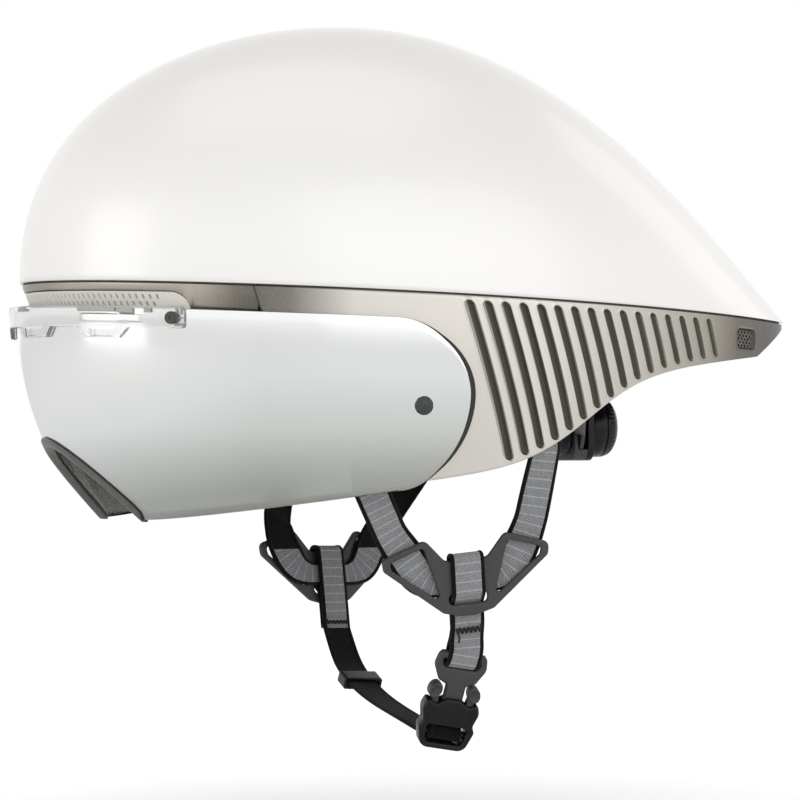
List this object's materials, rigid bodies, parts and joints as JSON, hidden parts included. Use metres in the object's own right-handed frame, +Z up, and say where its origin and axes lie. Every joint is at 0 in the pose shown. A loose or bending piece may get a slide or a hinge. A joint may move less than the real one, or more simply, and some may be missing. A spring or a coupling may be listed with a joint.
{
  "type": "time-trial cycling helmet with magnetic visor",
  "caption": "Teardrop cycling helmet with slotted side panels, a magnetic mirrored wrap visor, a dial-tightened rear cradle and a chin strap with a side-release buckle.",
  "frame": {"origin": "The head's place: on the centre plane, on the seam line under the crown.", "axes": "X runs from the front to the tail, Y to the wearer's right and Z up."},
  "size_m": [0.3577, 0.2006, 0.3178],
  "materials": {
    "shell": "pearl white gloss paint on moulded polycarbonate",
    "gasket": "dark shadow line",
    "panel": "champagne silver metallic satin lacquer",
    "insert": "warm white satin",
    "mesh": "black",
    "foam": "dark expanded polystyrene",
    "pad": "black knit over foam",
    "lens": "silver mirror coating",
    "trim": "dark grey satin",
    "bridge": "clear moulded",
    "screw": "dull",
    "cap": "dark slate",
    "magnet": "nickel plated",
    "web": "heather grey woven webbing",
    "black_web": "black woven webbing",
    "black_plastic": "black satin",
    "divider": "dark grey satin",
    "dial": "black gloss"
  },
  "bodies": {
    "helmet": {"upper_shell": "shell", "seam_gasket": "gasket", "brow_band": "panel", "brow_insert": "insert", "side_panel_left": "panel", "side_panel_right": "panel", "port_mesh_left": "mesh", "port_mesh_right": "mesh", "liner": "foam", "brow_pad": "pad", "crown_pad": "pad", "temple_pad_left": "pad", "temple_pad_right": "pad", "dock_magnet_left": "magnet", "dock_magnet_right": "magnet", "web_anchors_left": "black_plastic", "web_anchors_right": "black_plastic", "side_web_left": "web", "side_web_right": "web", "divider_left": "divider", "divider_right": "divider", "chin_web_left": "web", "chin_loop_right": "web", "web_keeper": "black_plastic", "buckle_plug": "black_plastic", "pivot_pin_left": "screw", "pivot_pin_right": "screw"},
    "visor": {"lens": "lens", "nose_trim": "trim", "visor_bridge": "bridge", "bridge_screw_left": "screw", "bridge_screw_right": "screw", "visor_cap_left": "cap", "visor_cap_right": "cap"},
    "cradle": {"pivot_eye_left": "black_plastic", "pivot_eye_right": "black_plastic", "cradle_housing": "black_plastic", "housing_cover": "black_plastic", "nape_pad": "pad"},
    "rack_left": {"rack_left": "black_plastic", "belt_left": "black_plastic"},
    "rack_right": {"rack_right": "black_plastic", "belt_right": "black_plastic"},
    "dial": {"fit_dial": "dial", "dial_pinion": "black_plastic"},
    "prong_front": {"prong_front": "black_plastic"},
    "prong_rear": {"prong_rear": "black_plastic"},
    "socket": {"buckle_socket": "black_plastic", "chin_web_right": "black_web"}
  },
  "joints": [
    {"name": "visor_pull", "type": "slide", "parent": "helmet", "child": "visor", "axis": [-1, 0, 0], "range_m": [0, 0.08]},
    {"name": "cradle_height", "type": "hinge", "parent": "helmet", "child": "cradle", "pos_m": [-0.025, 0, -0.036], "axis": [0, 1, 0], "range_deg": [-4, 4]},
    {"name": "dial_turn", "type": "hinge", "parent": "cradle", "child": "dial", "pos_m": [0.111, 0, -0.056], "axis": [1, 0, 0], "range_deg": [-60, 60]},
    {"name": "rack_left_slide", "type": "slide", "parent": "cradle", "child": "rack_left", "axis": [0, -1, 0], "range_m": [-0.00628, 0.00628], "deforming": ["belt_left"]},
    {"name": "rack_right_slide", "type": "slide", "parent": "cradle", "child": "rack_right", "axis": [0, 1, 0], "range_m": [-0.0064, 0.0064], "deforming": ["belt_right"]},
    {"name": "buckle_release", "type": "slide", "parent": "helmet", "child": "socket", "axis": [-0.1547, 0.3206, -0.9345], "range_m": [0, 0.03], "deforming": ["chin_web_right"]},
    {"name": "prong_front_press", "type": "hinge", "parent": "helmet", "child": "prong_front", "pos_m": [0.02615, -0.04729, -0.17891], "axis": [0.0524, 0.9472, 0.3163], "range_deg": [0, 5], "stiffness_Nm_per_rad": 0.5},
    {"name": "prong_rear_press", "type": "hinge", "parent": "helmet", "child": "prong_rear", "pos_m": [0.03997, -0.04729, -0.1812], "axis": [-0.0524, -0.9472, -0.3163], "range_deg": [0, 5], "stiffness_Nm_per_rad": 0.5}
  ],
  "couplings": [
    {"joint": "dial_turn", "follows": "rack_left_slide", "rad_per_m": 166.67},
    {"joint": "rack_right_slide", "follows": "rack_left_slide", "ratio": 1}
  ]
}
